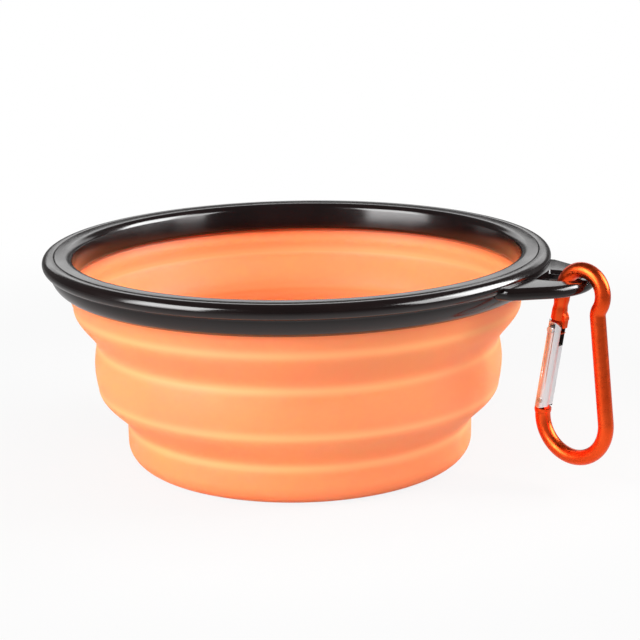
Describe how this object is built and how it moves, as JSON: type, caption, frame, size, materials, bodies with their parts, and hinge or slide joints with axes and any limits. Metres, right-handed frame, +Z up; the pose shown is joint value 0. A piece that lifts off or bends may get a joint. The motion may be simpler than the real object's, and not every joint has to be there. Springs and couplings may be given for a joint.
{
  "type": "collapsible silicone bowl",
  "caption": "Round travel bowl with soft walls that fold flat into a stiff rim, with a slotted hang tab and a spring-gate clip for hanging it from a strap or bag.",
  "frame": {"origin": "centre of the flat underside of the base, on the bowl's axis", "axes": "+Z up along the bowl's axis to the mouth, +X from the axis through the middle of the hang tab"},
  "size_m": [0.1509, 0.13, 0.057],
  "materials": {
    "rim_plastic": "glossy moulded black plastic",
    "silicone": "fine matte moulded silicone, orange",
    "anodised_aluminium": "orange-red anodised, satin",
    "bare_aluminium": "bare, polished",
    "steel": "bright drawn wire"
  },
  "bodies": {
    "rim": {"rim_outer_ring": "rim_plastic", "rim_inner_ring": "rim_plastic", "upper_wall": "silicone", "upper_fold": "silicone"},
    "middle": {"middle_band": "silicone", "lower_fold": "silicone"},
    "base": {"base_cup": "silicone"},
    "clip": {"clip_body": "anodised_aluminium", "gate_rivet": "steel"},
    "gate": {"clip_gate": "bare_aluminium", "nose_pin": "steel", "gate_plunger": "steel", "gate_spring": "steel"}
  },
  "joints": [
    {"name": "upper_fold_turn", "type": "slide", "parent": "rim", "child": "middle", "axis": [0, 0, 1], "range_m": [0, 0.01999], "deforming": ["upper_fold"]},
    {"name": "lower_fold_turn", "type": "slide", "parent": "middle", "child": "base", "axis": [0, 0, 1], "range_m": [0, 0.01999], "deforming": ["lower_fold"]},
    {"name": "clip_swing", "type": "hinge", "parent": "rim", "child": "clip", "pos_m": [0.07683, -0.0015, 0.0494], "axis": [-0.3338, -0.9426, 0], "range_deg": [-20, 120]},
    {"name": "gate_hinge", "type": "hinge", "parent": "clip", "child": "gate", "pos_m": [0.06655, 0.00214, 0.02104], "axis": [0.3338, 0.9426, 0], "range_deg": [0, 20], "stiffness_Nm_per_rad": 0.06, "springref_deg": -20.05}
  ]
}
